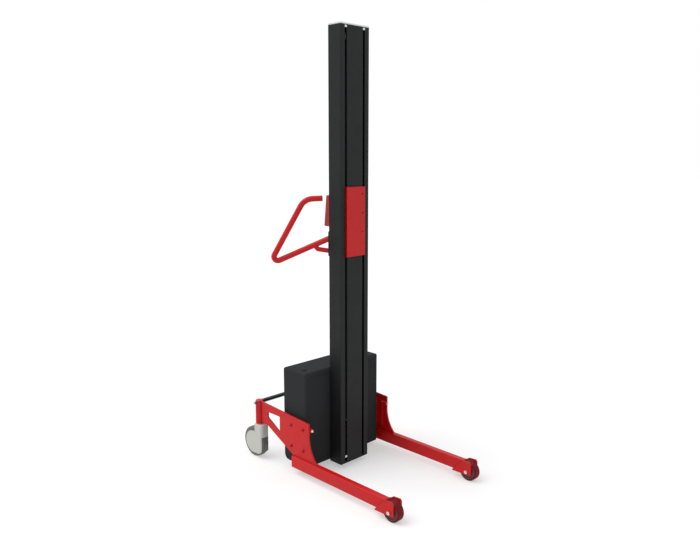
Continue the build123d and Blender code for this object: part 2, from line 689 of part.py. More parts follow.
def make_fork():
    rear_points = (FORK_HEEL_FROM_AXLE, FORK_SHOULDER_FROM_AXLE)
    front_points = (FORK_BROW_FROM_AXLE, FORK_NOSE_FROM_AXLE, FORK_TOE_FROM_AXLE)
    cheek = rounded_polygon(FORK_EDGE, *[fork_point(point) for point in rear_points + front_points])
    fork = side_extrusion(cheek, LEG_CENTRE + FORK_INNER, LEG_CENTRE + FORK_OUTER)
    fork += side_extrusion(cheek, LEG_CENTRE - FORK_OUTER, LEG_CENTRE - FORK_INNER)
    slant = fork_slant()
    web = polygon(
        (slant(LEG_BOTTOM), LEG_BOTTOM),
        (slant(LEG_TOP), LEG_TOP),
        (slant(LEG_TOP) - FORK_SHEET, LEG_TOP),
        (slant(LEG_BOTTOM) - FORK_SHEET, LEG_BOTTOM),
    )
    fork += side_extrusion(web, LEG_CENTRE - FORK_INNER, LEG_CENTRE + FORK_INNER)
    inner = (LEG_CENTRE - FORK_INNER, LEG_CENTRE + FORK_INNER, FRONT_AXLE_Y, FRONT_WHEEL_R)
    outer = (LEG_CENTRE - FORK_OUTER, LEG_CENTRE + FORK_OUTER, FRONT_AXLE_Y, FRONT_WHEEL_R)
    fork -= along_x(FRONT_WHEEL_R + FORK_WHEEL_GAP, *inner)
    save_pair("wheel_fork", fork - along_x(FRONT_AXLE_D / 2, *outer))


def make_front_wheel():
    half = FRONT_WHEEL_WIDTH / 2
    rim = FRONT_WHEEL_R - FRONT_TREAD
    place = Pos(LEG_CENTRE, FRONT_AXLE_Y, FRONT_WHEEL_R)
    tread = along_x(FRONT_WHEEL_R, -half, half) - along_x(rim, -half, half)
    save_pair("front_tread", place * chamfer(outer_rims(tread), FRONT_SHOULDER))
    hub = along_x(rim, -half, half)
    for x0, x1 in ((-half, FRONT_HUB_RECESS - half), (half - FRONT_HUB_RECESS, half)):
        recess = along_x(rim - FRONT_HUB_RECESS, x0, x1) - along_x(FRONT_HUB_BOSS, x0, x1)
        hub -= recess
    for x0, x1 in ((-FORK_INNER + BUTTON_GAP, -half), (half, FORK_INNER - BUTTON_GAP)):
        hub += along_x(FRONT_HUB_BOSS, x0, x1)
    hub -= along_x(FRONT_AXLE_D / 2 + RUNNING_GAP, -FORK_INNER, FORK_INNER)
    save_pair("front_hub", place * hub)
    axle = along_x(FRONT_AXLE_D / 2, -FORK_OUTER, FORK_OUTER)
    for x in (-FORK_OUTER - FRONT_AXLE_HEAD_LENGTH, FORK_OUTER):
        hexagon = Plane.YZ * RegularPolygon(FRONT_AXLE_HEAD / 2, 6, major_radius=False)
        axle += Pos(x, 0, 0) * extrude(hexagon, amount=FRONT_AXLE_HEAD_LENGTH)
    save_both("front_axles", place * axle)


# Side plates


def plate_outline():
    front_top = (PLATE_FRONT, PLATE_FRONT_TOP)
    flare_top = (PLATE_FRONT, PLATE_FLARE_TOP)
    flare_foot = (PLATE_FLARE_FOOT, LEG_TOP)
    arm = (SWIVEL_Y - PLATE_ARM_FROM_SWIVEL, SOCKET_BOTTOM + PLATE_ARM_RISE)
    edges = [
        Polyline(flare_top, front_top, (SWIVEL_Y, PLATE_REAR_TOP), (SWIVEL_Y, SOCKET_BOTTOM), arm),
        Polyline(arm, (LEG_REAR, LEG_TOP), flare_foot),
        TangentArc(flare_top, flare_foot, tangent=(0, -1)),
    ]
    outline = make_face(edges)
    window = rounded_polygon(
        WINDOW_CORNER,
        (WINDOW_FRONT, WINDOW_FRONT_SILL),
        (WINDOW_REAR, WINDOW_REAR_SILL),
        (WINDOW_REAR, WINDOW_TOP),
        (WINDOW_FRONT, WINDOW_TOP),
    )
    return outline - window


def screw_places():
    return [(y, z) for y in SCREW_COLUMNS for z in SCREW_ROWS]


def make_side_plate():
    plate = side_extrusion(plate_outline(), PLATE_INNER, PLATE_OUTER)
    plate -= along_z(SOCKET_D / 2, SOCKET_BOTTOM, SOCKET_TOP, LEG_CENTRE, SWIVEL_Y)
    plate += along_y(LUG_D / 2, LUG_FRONT, LUG_FRONT + LUG_LENGTH, LUG_X, LUG_Z)
    plate -= along_y(LUG_BORE / 2, LUG_FRONT, LUG_FRONT + LUG_LENGTH, LUG_X, LUG_Z)
    for y, z in screw_places():
        plate -= along_x(SCREW_SHANK / 2, PLATE_INNER, PLATE_OUTER, y, z)
    save_pair("side_plate", plate)


def make_plate_screws():
    block = span(HOUSING_HALF, PLATE_INNER, BLOCK_STEP, BLOCK_REAR, BLOCK_BOTTOM, BLOCK_TOP)
    tab_inner = PLATE_INNER - BLOCK_TAB
    block += span(tab_inner, PLATE_INNER, BLOCK_FRONT, BLOCK_STEP, BLOCK_BOTTOM, BLOCK_TOP)
    depth = PLATE_OUTER - SCREW_LENGTH
    socket = Plane.YZ * RegularPolygon(SCREW_SOCKET / 2, 6, major_radius=False)
    head_end = PLATE_OUTER + SCREW_HEAD_RISE
    socket = Pos(head_end - SCREW_SOCKET_DEPTH, 0, 0) * extrude(socket, amount=SCREW_SOCKET_DEPTH)
    head = along_x(SCREW_HEAD / 2, PLATE_OUTER, head_end)
    head = chamfer(end_rim(head, Axis.X, -1), SCREW_HEAD_EDGE)
    screw = head + along_x(SCREW_SHANK / 2, depth, PLATE_OUTER) - socket
    screws = []
    for y, z in screw_places():
        block -= along_x(SCREW_SHANK / 2, depth, PLATE_INNER, y, z)
        screws.append(Pos(0, y, z) * screw)
    save_both("mounting_blocks", block)
    save_both("plate_screws", *screws)
    head_y = LUG_FRONT - LUG_SCREW_HEAD_LENGTH
    head = along_y(LUG_SCREW_HEAD / 2, head_y, LUG_FRONT, LUG_X, LUG_Z)
    head = chamfer(end_rim(head, Axis.Y, 0), LUG_SCREW_HEAD_LENGTH / 3)
    save_both("lug_screws", head + along_y(LUG_BORE / 2, LUG_FRONT, BLOCK_FRONT, LUG_X, LUG_Z))


# Casters and lock bar


def make_socket():
    tube = along_z(SOCKET_D / 2, SOCKET_BOTTOM, SOCKET_TOP)
    tube = chamfer(end_rim(tube, Axis.Z, -1), SOCKET_EDGE)
    tube -= along_z(SOCKET_BORE / 2, SOCKET_BOTTOM, SOCKET_BORE_TOP)
    tube -= along_x(JOURNAL_D / 2 + RUNNING_GAP, -SOCKET_D, SOCKET_D, 0, BAR_Z)
    save_pair("caster_socket", Pos(LEG_CENTRE, SWIVEL_Y, 0) * tube)
    bore = along_z(STEM_D / 2 + RUNNING_GAP, HOOD_TOP, SOCKET_TOP)
    lower = along_z(SOCKET_BORE / 2, SOCKET_BOTTOM, SOCKET_BOTTOM + BUSH_LENGTH)
    lower += along_z(BUSH_FLANGE / 2, SOCKET_BOTTOM - BUSH_FLANGE_WALL, SOCKET_BOTTOM)
    upper_z = SOCKET_BORE_TOP - BUSH_LENGTH
    upper = along_z(SOCKET_BORE / 2, upper_z, SOCKET_BORE_TOP)
    place = Pos(LEG_CENTRE, SWIVEL_Y, 0)
    save_both("swivel_bushes", place * (lower - bore), place * (upper - bore))


def make_caster_fork():
    front = SWIVEL_Y - HOOD_LEAD
    rear = SWIVEL_Y + HOOD_TAIL
    bottom = CASTER_R - CHEEK_BELOW_AXLE
    hood_bottom = CASTER_R + HOOD_ABOVE_AXLE
    section = RectangleRounded(2 * CHEEK_OUTER, rear - front, HOOD_CORNER)
    section = Pos(0, (front + rear) / 2, bottom) * section
    fork = extrude(section, amount=HOOD_TOP - bottom)
    fork = chamfer(fork.edges().group_by(Axis.Z)[-1], HOOD_EDGE)
    side_view = polygon((front, HOOD_TOP), (rear, HOOD_TOP), (rear, bottom), (front, bottom))
    toe = side_view.vertices().group_by(Axis.Y)[0].sort_by(Axis.X)[0]
    fork &= side_extrusion(fillet(toe, CHEEK_CORNER), -CHEEK_OUTER, CHEEK_OUTER)
    fork -= span(-CHEEK_INNER, CHEEK_INNER, front, rear, bottom, hood_bottom)
    disc_outer = CHEEK_INNER + DISC_SHEET
    for x0, x1 in ((-disc_outer, -CHEEK_INNER), (CHEEK_INNER, disc_outer)):
        fork += along_x(CASTER_R - DISC_INSIDE_WHEEL, x0, x1, CASTER_Y, CASTER_R)
    fork -= along_x(CASTER_R + CASTER_WHEEL_GAP, -CHEEK_INNER, CHEEK_INNER, CASTER_Y, CASTER_R)
    seat = CHEEK_INNER + CASTER_AXLE_SEAT
    fork -= along_x(CASTER_AXLE_D / 2, -seat, seat, CASTER_Y, CASTER_R)
    fork += along_z(STEM_D / 2, HOOD_TOP - HOOD_EDGE, STEM_TOP, 0, SWIVEL_Y)
    save_pair("caster_fork", Pos(LEG_CENTRE, 0, 0) * fork)
    axle = along_x(CASTER_AXLE_D / 2, -seat, seat, CASTER_Y, CASTER_R)
    save_pair("caster_axle", Pos(LEG_CENTRE, 0, 0) * axle)


def make_caster_wheel():
    half = CASTER_WIDTH / 2
    rim = CASTER_R - CASTER_TREAD
    place = Pos(LEG_CENTRE, CASTER_Y, CASTER_R)
    tyre = along_x(CASTER_R, -half, half) - along_x(rim, -half, half)
    save_pair("caster_tyre", place * fillet(outer_rims(tyre), CASTER_SHOULDER))
    hub = along_x(rim, -half, half)
    for x0, x1 in ((-half, CASTER_HUB_RECESS - half), (half - CASTER_HUB_RECESS, half)):
        hub -= along_x(rim - CASTER_HUB_RECESS, x0, x1) - along_x(CASTER_HUB_BOSS, x0, x1)
    boss_end = CHEEK_INNER - BUTTON_GAP
    for x0, x1 in ((-boss_end, -half), (half, boss_end)):
        hub += along_x(CASTER_HUB_BOSS, x0, x1)
    hub -= along_x(CASTER_AXLE_D / 2 + RUNNING_GAP, -CHEEK_INNER, CHEEK_INNER)
    save_pair("caster_hub", place * hub)


def make_lock_bar():
    shoulder = LEG_CENTRE - SOCKET_D / 2 - BAR_SHOULDER_GAP
    bar = along_x(BAR_D / 2, -shoulder, shoulder)
    journal_end = BAR_TIP - BAR_TIP_LENGTH
    bar += along_x(JOURNAL_D / 2, -journal_end, journal_end)
    for x in (-BAR_TIP, journal_end):
        hexagon = Plane.YZ * RegularPolygon(BAR_TIP_HEX / 2, 6, major_radius=False)
        bar += Pos(x, 0, 0) * extrude(hexagon, amount=BAR_TIP_LENGTH)
    save("lock_bar", Pos(0, SWIVEL_Y, BAR_Z) * bar)

    half = PEDAL_WIDTH / 2
    tread = span(-half, half, 0, PEDAL_REACH, -PEDAL_SHEET / 2, PEDAL_SHEET / 2)
    corners = tread.edges().filter_by(Axis.Z).group_by(Axis.Y)[-1]
    tread = fillet(corners, PEDAL_EDGE)
    rib_pitch = (PEDAL_REACH - PEDAL_HUB_D / 2) / (PEDAL_RIB_COUNT + 1)
    for index in range(PEDAL_RIB_COUNT):
        y = PEDAL_HUB_D / 2 + (index + 1) * rib_pitch
        rib_half = half - PEDAL_EDGE
        tread += span(-rib_half, rib_half, y, y + PEDAL_RIB, PEDAL_SHEET / 2, PEDAL_SHEET / 2 + PEDAL_RIB)
    hub = along_x(PEDAL_HUB_D / 2, -PEDAL_HUB_WIDTH / 2, PEDAL_HUB_WIDTH / 2)
    pedal = tread + hub - along_x(BAR_D / 2, -half, half)
    save("lock_pedal", Pos(0, SWIVEL_Y, BAR_Z) * pedal)


# Handles


def tube_along(path, radius, wall):
    ring = Circle(radius) - Circle(radius - wall)
    return sweep(Plane(origin=path @ 0, z_dir=path % 0) * ring, path=path)


def rod_along(path, radius):
    return sweep(Plane(origin=path @ 0, z_dir=path % 0) * Circle(radius), path=path)


def in_front_of_handle_plate(depth):
    half = MAST_WIDTH / 2
    bottom = HANDLE_PLATE_BOTTOM - depth
    return span(-half, half, HANDLE_FACE_Y - depth, HANDLE_FACE_Y, bottom, HANDLE_PLATE_TOP + depth)


def handle_point(flat_point):
    return HANDLE_PLANE.from_local_coords(Vector(*flat_point, 0))


def start_inside_plate(face_point, next_point):
    root = handle_point(face_point)
    away = (root - handle_point(next_point)).normalized()
    return root + away * HANDLE_D


def make_handle():
    root = start_inside_plate(HANDLE_ROOT, HANDLE_HEEL)
    bends = [HANDLE_HEEL_BEND, HANDLE_CREST_BEND]
    corners = [handle_point(point) for point in (HANDLE_HEEL, HANDLE_CREST, HANDLE_END)]
    path = FilletPolyline(root, *corners, radius=bends)
    trim = in_front_of_handle_plate(2 * HANDLE_D)
    save_pair("handle", tube_along(path, HANDLE_D / 2, HANDLE_WALL) - trim)

    stay_root = start_inside_plate(STAY_ROOT, STAY_ELBOW)
    stay_ends = [handle_point(point) for point in (STAY_TOP, STAY_ELBOW)]
    stay_path = FilletPolyline(*stay_ends, stay_root, radius=[STAY_BEND])
    stay = tube_along(stay_path, STAY_D / 2, HANDLE_WALL) - trim - rod_along(path, HANDLE_D / 2)
    save_both("handle_stays", stay.solids().sort_by(SortBy.VOLUME)[-1])

    end = Plane(origin=path @ 1, z_dir=path % 1)
    rim = along_z(HANDLE_D / 2, 0, PLUG_RIM)
    rim = chamfer(end_rim(rim, Axis.Z, -1), PLUG_RIM / 2)
    spigot = along_z(HANDLE_D / 2 - HANDLE_WALL - CLEARANCE, -PLUG_SPIGOT, 0)
    save_both("handle_plugs", end * (rim + spigot))


def make_handle_plate():
    height = HANDLE_PLATE_TOP - HANDLE_PLATE_BOTTOM
    middle = (HANDLE_PLATE_TOP + HANDLE_PLATE_BOTTOM) / 2
    face = Plane(origin=(0, MAST_DEPTH, middle), x_dir=(1, 0, 0), z_dir=(0, 1, 0))
    outline = RectangleRounded(HANDLE_PLATE_WIDTH, height, HANDLE_PLATE_CORNER)
    plate = extrude(face * outline, amount=HANDLE_PLATE_SHEET)
    screws = []
    for x, z in handle_screw_places():
        shank = along_y(HANDLE_SCREW_SHANK / 2, HANDLE_FACE_Y - HANDLE_SCREW_LENGTH, HANDLE_FACE_Y, x, z)
        head = along_y(HANDLE_SCREW_HEAD / 2, HANDLE_FACE_Y, HANDLE_FACE_Y + HANDLE_SCREW_RISE, x, z)
        plate -= along_y(HANDLE_SCREW_SHANK / 2, MAST_DEPTH, HANDLE_FACE_Y, x, z)
        screws.append(head + shank)
    save("handle_plate", plate)
    save("handle_screws", *screws)


# Control box


def box_block(inset):
    front = MAST_DEPTH
    lower = (front + BOX_DEPTH_BOTTOM - inset, BOX_BOTTOM + inset)
    upper = (front + BOX_DEPTH_TOP - inset, BOX_TOP - inset)
    outline = polygon((front, BOX_BOTTOM + inset), lower, upper, (front, BOX_TOP - inset))
    return side_extrusion(outline, -BOX_WIDTH / 2 + inset, BOX_WIDTH / 2 - inset)


def button_places():
    return {
        "up_button": BUTTON_PLANE * Pos(BUTTON_X, -BUTTON_PITCH / 2),
        "down_button": BUTTON_PLANE * Pos(BUTTON_X, BUTTON_PITCH / 2),
    }


def rounded_block(inset):
    block = box_block(inset)
    front_edges = face_edges(block, Axis.Y, 0)
    round_edges = [edge for edge in block.edges() if edge not in front_edges]
    return fillet(round_edges, BOX_EDGE - inset)


def make_control_box():
    box = rounded_block(0) - rounded_block(BOX_WALL)
    wall = 2 * BOX_WALL
    for place in button_places().values():
        box -= place * Cylinder(BUTTON_D / 2 + BUTTON_GAP, 2 * wall)
    stop_place = BUTTON_PLANE * Pos(STOP_KNOB_X, 0)
    box -= stop_place * Cylinder(STOP_STEM_D / 2 + BUTTON_GAP, 2 * wall)
    save("control_box", box)
    flange_top = -BOX_WALL - BUTTON_GAP
    flange_bottom = flange_top - BUTTON_FLANGE_WALL
    for name, place in button_places().items():
        cap = along_z(BUTTON_D / 2, flange_bottom, BUTTON_RISE)
        cap = chamfer(end_rim(cap, Axis.Z, -1), BUTTON_EDGE)
        cap += along_z(BUTTON_D / 2 + BUTTON_FLANGE, flange_bottom, flange_top)
        save(name, place * cap)
    knob_top = STOP_KNOB_RISE + STOP_KNOB_HEIGHT
    knob = along_z(STOP_KNOB_D / 2, STOP_KNOB_RISE, knob_top)
    knob = chamfer(end_rim(knob, Axis.Z, -1), STOP_KNOB_EDGE)
    knob += along_z(STOP_STEM_D / 2, flange_bottom, STOP_KNOB_RISE)
    knob += along_z(STOP_STEM_D / 2 + BUTTON_FLANGE, flange_bottom, flange_top)
    save("emergency_stop", stop_place * knob)


os.makedirs("parts", exist_ok=True)
make_mast()
make_carriage()
make_slider()
make_strap(make_clamp())
make_sheave()
make_drum()
make_drive()
make_housing()
make_frame()
make_electrics()
make_leg()
make_fork()
make_front_wheel()
make_side_plate()
make_plate_screws()
make_socket()
make_caster_fork()
make_caster_wheel()
make_lock_bar()
make_handle()
make_handle_plate()
make_control_box()
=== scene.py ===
import bpy
import bmesh
import json
import math
from mathutils import Matrix, Vector


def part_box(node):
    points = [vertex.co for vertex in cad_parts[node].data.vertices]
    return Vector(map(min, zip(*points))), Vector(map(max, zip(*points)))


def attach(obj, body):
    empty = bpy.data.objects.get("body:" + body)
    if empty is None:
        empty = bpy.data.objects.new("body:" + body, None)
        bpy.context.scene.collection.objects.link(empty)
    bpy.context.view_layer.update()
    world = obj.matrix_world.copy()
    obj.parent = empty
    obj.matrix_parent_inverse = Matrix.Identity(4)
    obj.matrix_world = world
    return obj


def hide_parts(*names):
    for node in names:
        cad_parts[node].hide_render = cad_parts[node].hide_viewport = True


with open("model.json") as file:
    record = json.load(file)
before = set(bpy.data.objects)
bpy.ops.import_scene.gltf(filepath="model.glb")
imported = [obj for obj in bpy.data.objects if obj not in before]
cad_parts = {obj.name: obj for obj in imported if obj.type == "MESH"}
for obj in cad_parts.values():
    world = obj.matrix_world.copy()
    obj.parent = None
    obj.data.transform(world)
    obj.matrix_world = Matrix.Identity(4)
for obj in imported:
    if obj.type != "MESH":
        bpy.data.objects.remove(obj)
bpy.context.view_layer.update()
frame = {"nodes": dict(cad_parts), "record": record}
nodes = frame["nodes"]
scene = bpy.context.scene

# Camera, fitted to the photograph's edges. Lengths are metres and angles are degrees.
CAMERA_PLACE = (-1.9011, -1.8759, 1.2439)
CAMERA_YAW = 44.8
CAMERA_PITCH = 9.3
CAMERA_LENS_MM = 36.25
CAMERA_REACH = 100.0
SENSOR_MM = 36.0

# Light
WORLD_LIGHT = 0.65
KEY_FROM = (-1.7, 1.7, 3.6)
KEY_STRENGTH = 1.55
KEY_SPREAD = 50.0
FLOOR_SIZE = 60.0
FLOOR_ROUGHNESS = 0.9
FLOOR_BOUNCE = 0.8
FLOOR_SHADE = 0.6
FLOOR_GLOW = 0.43

# Linear colours
BLACK = (0.0098, 0.0107, 0.0116)
HOUSING_BLACK = (0.0340, 0.0360, 0.0380)
RED = (0.585, 0.0045, 0.0065)
BOX_RED = (0.42, 0.012, 0.016)
SCREW_RED = (0.40, 0.006, 0.008)
PLUG_RED = (0.022, 0.004, 0.005)
# The weld beads are a darker red than the frame paint: painted shade for the shadowed seams where the
# parts meet
WELD_SHADE_RED = (0.30, 0.0035, 0.005)
ZINC = (0.66, 0.65, 0.62)
PALE_GREY = (0.55, 0.56, 0.52)
TYRE_GREY = (0.132, 0.134, 0.125)
BURGUNDY = (0.148, 0.007, 0.009)
HUB_GREY = (0.34, 0.34, 0.33)
HUB_BROWN = (0.10, 0.078, 0.072)
NYLON = (0.70, 0.47, 0.30)
PLATE_GREY = (0.66, 0.67, 0.68)
STEEL = (0.42, 0.42, 0.43)
CASTING = (0.30, 0.31, 0.32)
WEB_GREY = (0.05, 0.05, 0.05)
CASE_BLACK = (0.020, 0.020, 0.022)
PLASTIC_BLACK = (0.012, 0.012, 0.013)
BUTTON_BLACK = (0.030, 0.032, 0.034)
STOP_RED = (0.55, 0.012, 0.014)
ARROW_PAINT = (0.72, 0.72, 0.70)

# Noise of the finishes, in features a metre, and the height of its relief in metres
TONE_SCALE = 6.0
RUB_SCALE = 70.0
COAT_SHINE_SCALE = 25.0
PEEL_SCALE = 1100.0
PEEL_HEIGHT = 0.0004
PLASTIC_TONE_SCALE = 9.0
PLASTIC_SHINE_SCALE = 40.0
GRAIN_SCALE = 1600.0
GRAIN_HEIGHT = 0.0003
BRUSH_SCALE = 220.0
BRUSH_HEIGHT = 0.0002
SCUFF_SCALE = 60.0
RUBBER_SHINE_SCALE = 120.0
PORE_SCALE = 900.0
PORE_HEIGHT = 0.0004
WEAVE_SCALE = 260.0
WEAVE_SHINE_SCALE = 300.0
WEAVE_HEIGHT = 0.0005
EDGE_SAMPLES = 4

# The lock bar is bare metal at its tips, this far from the middle plane
BAR_TIP_FROM_MIDDLE = 0.2382
BARE_BLEND = 0.0004

# Faces of the mesh pieces that meet at more than this angle, in degrees, show an edge
SHARP_ANGLE = 35

# Low turned rings, let a little into what carries them and rounded at the outer edge
RING_SINK = 0.0003
ROUND_CUT_SHARE = 0.3

# Weld beads. Fork points are back and up from the front axle, and tube runs are level length and rise.
BEAD_R = 0.0021
BEAD_PITCH = 0.0042
BEAD_STEP = 0.0010
BEAD_RIPPLE = 0.16
PLATE_SHEET = 0.006
FORK_HEEL = (0.0715, -0.0135)
FORK_SHOULDER = (0.0190, 0.0385)
HANDLE_ROOT_X = 0.055
HANDLE_ROOT_Z = 0.9207
HANDLE_RUN = (0.2420, -0.1069)
HANDLE_R = 0.011
HANDLE_SPLAY = math.sqrt(0.5)
STAY_ROOT_Z = 0.8675
STAY_RUN = (0.0608, 0.0085)
STAY_R = 0.009

# Panel of the control box, which leans forward towards its top. Rings are inner and outer radius and rise.
PANEL_HEIGHT = 0.121
PANEL_LEAN = 0.012
PANEL_DEPTH = 0.050
BUTTON_RISE = 0.004
BEZEL = (0.0115, 0.0145, 0.0012)
STOP_COLLAR = (0.0085, 0.0205, 0.0018)
ARROW_LENGTH = 0.011
ARROW_WIDTH = 0.010
ARROW_SHAFT = 0.0036
ARROW_RISE = 0.0005
ARROW_SIDE_SHARE = 0.6
ARROW_TOP_SHARE = 0.92

# Caster tyres
TYRE_TREAD = 0.0165
TYRE_SHOULDER = 0.0045
TYRE_CROWN = 0.0004
TYRE_STEPS = 96
SHOULDER_STEPS = 6

# Charge inlet and screws
INLET_DEPTH = 0.018
PIN_COUNT = 3
PIN_CIRCLE = 0.0060
PIN_R = 0.0016
PIN_LENGTH = 0.0120
PIN_SINK = 0.0005
PIN_TIP_SHARE = 0.35
PIN_ROUND_SHARE = 0.8
PIN_STEPS = 20
TOP_SCREW_INSET = 0.013
TOP_SCREW_R = 0.0048
TOP_SCREW_RISE = 0.0012
HANDLE_SCREW_R = 0.0065
SOCKET_RING_RISE = 0.0008
SOCKET_RING_INSET = 0.0002
SOCKET_SHARE = 0.45


def tint(colour, factor):
    return tuple(min(1.0, c * factor) for c in colour)


# Materials


class Shader:
    """A node material on one Principled shader, with object coordinates in metres."""

    def __init__(self, name, metallic=0.0, specular=0.5):
        self.material = bpy.data.materials.new(name)
        self.material.use_nodes = True
        self.tree = self.material.node_tree
        self.shader = self.tree.nodes["Principled BSDF"]
        self.shader.inputs["Metallic"].default_value = metallic
        self.shader.inputs["Specular IOR Level"].default_value = specular
        self.place = self.node("ShaderNodeTexCoord").outputs["Object"]

    def node(self, kind, **settings):
        made = self.tree.nodes.new(kind)
        for key, value in settings.items():
            setattr(made, key, value)
        return made

    def link(self, source, target):
        self.tree.links.new(source, target)

    def noise(self, scale, detail=3.0, stretch=(1, 1, 1)):
        mapping = self.node("ShaderNodeMapping")
        mapping.inputs["Scale"].default_value = stretch
        texture = self.node("ShaderNodeTexNoise")
        texture.inputs["Scale"].default_value = scale
        texture.inputs["Detail"].default_value = detail
        self.link(self.place, mapping.inputs["Vector"])
        self.link(mapping.outputs["Vector"], texture.inputs["Vector"])
        return texture.outputs["Fac"]

    def spread(self, value, low, high, start=0.3, end=0.7):
        node = self.node("ShaderNodeMapRange")
        node.inputs["From Min"].default_value = start
        node.inputs["From Max"].default_value = end
        node.inputs["To Min"].default_value = low
        node.inputs["To Max"].default_value = high
        self.link(value, node.inputs["Value"])
        return node.outputs["Result"]

    def times(self, first, second):
        node = self.node("ShaderNodeMath", operation="MULTIPLY")
        self.link(first, node.inputs[0])
        self.link(second, node.inputs[1])
        return node.outputs["Value"]

    def along(self, axis, mirrored=False):
        """One coordinate of the point, or its distance from the middle plane."""
        split = self.node("ShaderNodeSeparateXYZ")
        self.link(self.place, split.inputs["Vector"])
        value = split.outputs[axis]
        if mirrored:
            node = self.node("ShaderNodeMath", operation="ABSOLUTE")
            self.link(value, node.inputs[0])
            value = node.outputs["Value"]
        return value

    def mix(self, factor, first, second):
        node = self.node("ShaderNodeMix", data_type="RGBA")
        for index, colour in ((6, first), (7, second)):
            if isinstance(colour, tuple):
                node.inputs[index].default_value = (*colour, 1.0)
            else:
                self.link(colour, node.inputs[index])
        self.link(factor, node.inputs[0])
        return node.outputs[2]

    def edges(self, radius):
        """Soft mask that is 1 on sharp edges, and the normal of the eased edge."""
        bevel = self.node("ShaderNodeBevel", samples=EDGE_SAMPLES)
        bevel.inputs["Radius"].default_value = radius
        flat = self.node("ShaderNodeNewGeometry").outputs["Normal"]
        dot = self.node("ShaderNodeVectorMath", operation="DOT_PRODUCT")
        self.link(bevel.outputs["Normal"], dot.inputs[0])
        self.link(flat, dot.inputs[1])
        mask = self.spread(dot.outputs["Value"], 1.0, 0.0, 0.85, 0.995)
        return mask, bevel.outputs["Normal"]

    def bump(self, height, strength, distance, normal=None):
        node = self.node("ShaderNodeBump")
        node.inputs["Strength"].default_value = strength
        node.inputs["Distance"].default_value = distance
        self.link(height, node.inputs["Height"])
        if normal is not None:
            self.link(normal, node.inputs["Normal"])
        self.link(node.outputs["Normal"], self.shader.inputs["Normal"])

    def colour(self, value):
        self.link(value, self.shader.inputs["Base Color"])

    def roughness(self, value):
        self.link(value, self.shader.inputs["Roughness"])

    def metallic(self, value):
        self.link(value, self.shader.inputs["Metallic"])


def coat(
    name, colour, rough, edge_colour, peel=0.05, edge_radius=0.0012, specular=0.5, bright_beyond=None
):
    """Powder coat: fine orange peel, slow tone drift, eased edges with a little rub.

    Past the distance bright_beyond from the middle plane the metal is bare.
    """
    s = Shader(name, specular=specular)
    drift = s.spread(s.noise(TONE_SCALE, 4.0), 0.0, 1.0)
    base = s.mix(drift, tint(colour, 0.94), tint(colour, 1.06))
    edge, eased = s.edges(edge_radius)
    rub = s.times(edge, s.spread(s.noise(RUB_SCALE, 4.0), 0.0, 0.5, 0.45, 0.8))
    base = s.mix(rub, base, edge_colour)
    shine = s.spread(s.noise(COAT_SHINE_SCALE, 5.0), rough - 0.04, rough + 0.05)
    if bright_beyond:
        start, end = bright_beyond - BARE_BLEND, bright_beyond + BARE_BLEND
        bare = s.spread(s.along("X", mirrored=True), 0.0, 1.0, start, end)
        base = s.mix(bare, base, ZINC)
        s.metallic(bare)
    s.colour(base)
    s.roughness(shine)
    s.bump(s.noise(PEEL_SCALE, 2.0), peel, PEEL_HEIGHT, eased)
    return s.material


def moulded(name, colour, rough, grain=0.08, edge_radius=0.0015, specular=0.5):
    """Moulded plastic: fine spark-eroded grain and eased edges."""
    s = Shader(name, specular=specular)
    drift = s.spread(s.noise(PLASTIC_TONE_SCALE, 3.0), 0.0, 1.0)
    s.colour(s.mix(drift, tint(colour, 0.93), tint(colour, 1.05)))
    s.roughness(s.spread(s.noise(PLASTIC_SHINE_SCALE, 4.0), rough - 0.05, rough + 0.06))
    _, eased = s.edges(edge_radius)
    s.bump(s.noise(GRAIN_SCALE, 2.0), grain, GRAIN_HEIGHT, eased)
    return s.material


def bare_metal(name, colour, rough, brush=(1, 1, 30), edge_radius=0.0008):
    """Bright or machined metal with fine drawn lines."""
    s = Shader(name, metallic=1.0)
    lines = s.noise(BRUSH_SCALE, 4.0, brush)
    s.colour(s.mix(s.spread(lines, 0.0, 1.0), tint(colour, 0.86), tint(colour, 1.08)))
    s.roughness(s.spread(lines, rough - 0.06, rough + 0.08))
    _, eased = s.edges(edge_radius)
    s.bump(lines, 0.06, BRUSH_HEIGHT, eased)
    return s.material


def rubber(name, colour, rough, specular=0.4):
    """Cast rubber: matt, with fine pores and paler scuffs on the running face."""
    s = Shader(name, specular=specular)
    scuff = s.spread(s.noise(SCUFF_SCALE, 6.0), 0.0, 0.6, 0.45, 0.8)
    s.colour(s.mix(scuff, colour, tint(colour, 1.5)))
    s.roughness(s.spread(s.noise(RUBBER_SHINE_SCALE, 4.0), rough - 0.08, rough + 0.08))
    s.bump(s.noise(PORE_SCALE, 3.0), 0.18, PORE_HEIGHT)
    return s.material


def webbing(name, colour):
    """Woven strap: fine ribs across and along."""
    s = Shader(name, specular=0.3)
    wave = s.node("ShaderNodeTexWave", wave_type="BANDS", bands_direction="DIAGONAL")
    wave.inputs["Scale"].default_value = WEAVE_SCALE
    s.link(s.place, wave.inputs["Vector"])
    s.colour(s.mix(wave.outputs["Fac"], tint(colour, 0.7), tint(colour, 1.3)))
    s.roughness(s.spread(s.noise(WEAVE_SHINE_SCALE), 0.7, 0.9))
    s.bump(wave.outputs["Fac"], 0.4, WEAVE_HEIGHT)
    return s.material


